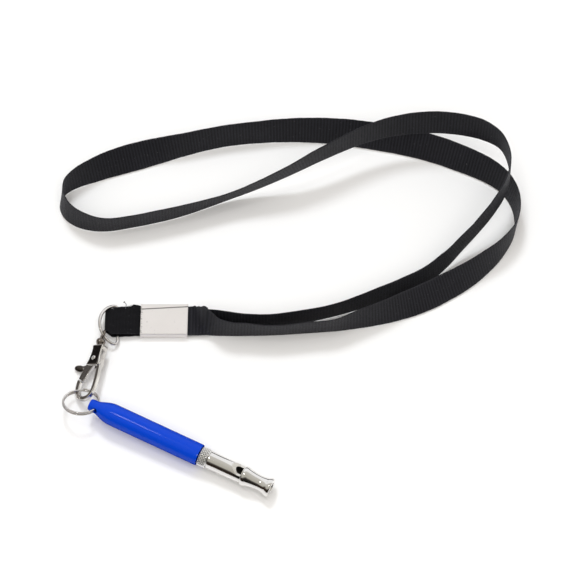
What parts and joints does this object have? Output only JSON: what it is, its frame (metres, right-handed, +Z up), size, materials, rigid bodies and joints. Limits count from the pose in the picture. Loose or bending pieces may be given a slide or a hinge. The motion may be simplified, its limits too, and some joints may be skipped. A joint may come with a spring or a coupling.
{
  "type": "training whistle on a ribbon lanyard",
  "caption": "Slim adjustable-pitch whistle with a lacquered barrel and plated head, hung by a split ring and swivel trigger clasp from a crimped ribbon neck loop.",
  "frame": {"origin": "middle of the laid-out object's footprint, on the table plane", "axes": "+X along the longest side of the laid-out object, +Y away from the whistle towards the neck loop, +Z up from the table"},
  "size_m": [0.1908, 0.1678, 0.0262],
  "materials": {
    "ribbon": "woven grosgrain, matt black",
    "tab_ribbon": "woven ribbon, dull black",
    "crimp_sheet": "satin nickel plate",
    "ring_wire": "bright nickel plate",
    "clasp_casting": "bright nickel plate",
    "trigger_plate": "bright nickel plate",
    "pin_steel": "peened and plated",
    "spring_steel": "drawn wire",
    "barrel_lacquer": "glossy blue lacquer",
    "brass": "machined brass",
    "seal_rubber": "moulded rubber",
    "nut_plate": "knurled and nickel plated",
    "head_plate": "bright nickel plate",
    "plug_plastic": "dark moulded plug"
  },
  "bodies": {
    "lanyard": {"neck_ribbon": "ribbon", "ribbon_tab": "tab_ribbon", "crimp_clip": "crimp_sheet"},
    "dring": {"lanyard_ring": "ring_wire"},
    "eye": {"swivel_eye": "clasp_casting"},
    "clasp": {"clasp_body": "clasp_casting", "trigger_pin": "pin_steel", "trigger_spring": "spring_steel"},
    "trigger": {"clasp_trigger": "trigger_plate"},
    "key_ring": {"split_ring": "ring_wire"},
    "whistle_body": {"barrel": "barrel_lacquer", "barrel_bush": "brass", "plunger_rod": "brass"},
    "piston": {"plunger_piston": "brass", "piston_o_ring": "seal_rubber"},
    "head": {"head_tube": "head_plate", "mouthpiece": "head_plate", "windway_plug": "plug_plastic"},
    "nut": {"lock_nut": "nut_plate"}
  },
  "joints": [
    {"name": "ring_swing", "type": "hinge", "parent": "lanyard", "child": "dring", "pos_m": [-0.069, -0.00885, 0.0015], "axis": [0, 1, 0], "range_deg": [-70, 60]},
    {"name": "eye_tilt", "type": "hinge", "parent": "dring", "child": "eye", "pos_m": [-0.07469, -0.01449, 0.00474], "axis": [0.5202, -0.7995, -0.3003], "range_deg": [-60, 60]},
    {"name": "clasp_swivel", "type": "hinge", "parent": "eye", "child": "clasp", "pos_m": [-0.07532, -0.01711, 0.00466], "axis": [-0.2363, -0.9712, -0.0312], "continuous": true},
    {"name": "trigger_pull", "type": "hinge", "parent": "clasp", "child": "trigger", "pos_m": [-0.07683, -0.0254, 0.00473], "axis": [-0.5536, 0.1082, 0.8257], "range_deg": [0, 24], "stiffness_Nm_per_rad": 0.002, "deforming": ["trigger_spring"]},
    {"name": "key_ring_swing", "type": "hinge", "parent": "clasp", "child": "key_ring", "pos_m": [-0.081, -0.03784, 0.00356], "axis": [-0.5536, 0.1082, 0.8257], "range_deg": [-90, 45]},
    {"name": "whistle_swing", "type": "hinge", "parent": "key_ring", "child": "whistle_body", "pos_m": [-0.07527, -0.04731, 0.00694], "axis": [-0.3778, -0.8223, 0.4255], "range_deg": [-90, 70]},
    {"name": "piston_turn", "type": "hinge", "parent": "whistle_body", "child": "piston", "pos_m": [-0.07527, -0.04731, 0.00694], "axis": [0.9005, -0.4332, -0.0375], "range_deg": [0, 2161]},
    {"name": "head_slide", "type": "slide", "parent": "piston", "child": "head", "axis": [0.9005, -0.4332, -0.0375], "range_m": [0, 0.0048]},
    {"name": "lock_nut_turn", "type": "hinge", "parent": "head", "child": "nut", "pos_m": [-0.07527, -0.04731, 0.00694], "axis": [0.9005, -0.4332, -0.0375], "continuous": true}
  ],
  "couplings": [
    {"joint": "piston_turn", "follows": "head_slide", "rad_per_m": 7854}
  ]
}
